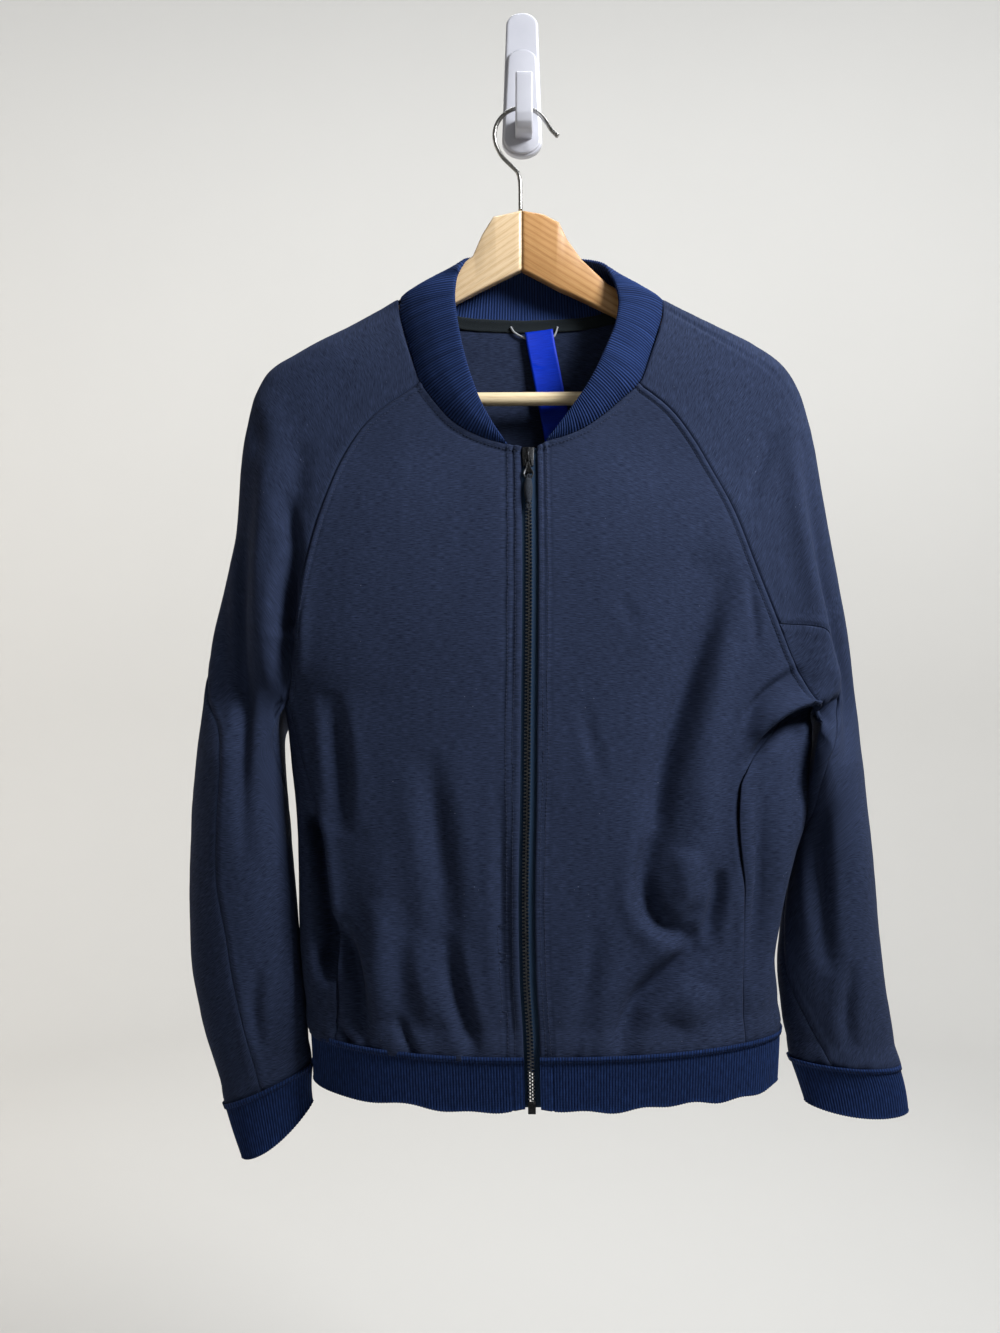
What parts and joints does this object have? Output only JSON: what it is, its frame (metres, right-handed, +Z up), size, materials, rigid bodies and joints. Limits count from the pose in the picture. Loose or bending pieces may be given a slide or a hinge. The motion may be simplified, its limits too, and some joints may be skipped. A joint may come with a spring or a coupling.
{
  "type": "bomber jacket on a wooden hanger with a wall hook",
  "caption": "Zipped bomber jacket with raglan sleeves and ribbed collar, cuffs and hem, hanging flat on a wooden hanger from a wall hook.",
  "frame": {"origin": "centre of the wall hook plate's back face, on the wall", "axes": "+Y into the wall, +Z up, +X to the wearer's left"},
  "size_m": [0.6242, 0.1164, 1.0179],
  "materials": {
    "jersey": "matt knitted jersey",
    "rib": "ribbed knit",
    "zip_tape": "woven tape",
    "zip_metal": "dark gunmetal",
    "cord": "braided cord",
    "neck_tape": "knitted tape",
    "blue_satin": "satin ribbon",
    "wood_left": "clear lacquer, orange",
    "wood_right": "clear lacquer, pale",
    "wood_bar": "clear lacquer, pale",
    "steel": "nickel-plated wire",
    "white_plastic": "glossy"
  },
  "bodies": {
    "jacket": {"front_left": "jersey", "front_right": "jersey", "back": "jersey", "side_panel_left": "jersey", "side_panel_right": "jersey", "sleeve_upper_left": "jersey", "sleeve_upper_right": "jersey", "sleeve_under_left": "jersey", "sleeve_under_right": "jersey", "collar_rib": "rib", "cuff_left": "rib", "cuff_right": "rib", "hem_rib": "rib", "zip_tape_left": "zip_tape", "zip_tape_right": "zip_tape", "zip_chain": "zip_metal", "zip_slider": "zip_metal", "zip_box": "zip_metal", "neck_tape": "neck_tape", "label": "blue_satin", "hang_loop": "cord", "hanger_arm_left": "wood_left", "hanger_arm_right": "wood_right", "hanger_bar": "wood_bar", "hanger_wire": "steel", "wall_plate": "white_plastic", "wall_prong": "white_plastic"},
    "zip_pull": {"pull_tab": "zip_metal", "pull_cord": "cord"}
  },
  "joints": [
    {"name": "pull_tab_swing", "type": "hinge", "parent": "jacket", "child": "zip_pull", "pos_m": [0.00383, -0.08342, -0.357], "axis": [-1, 0, 0], "range_deg": [0, 150]}
  ]
}
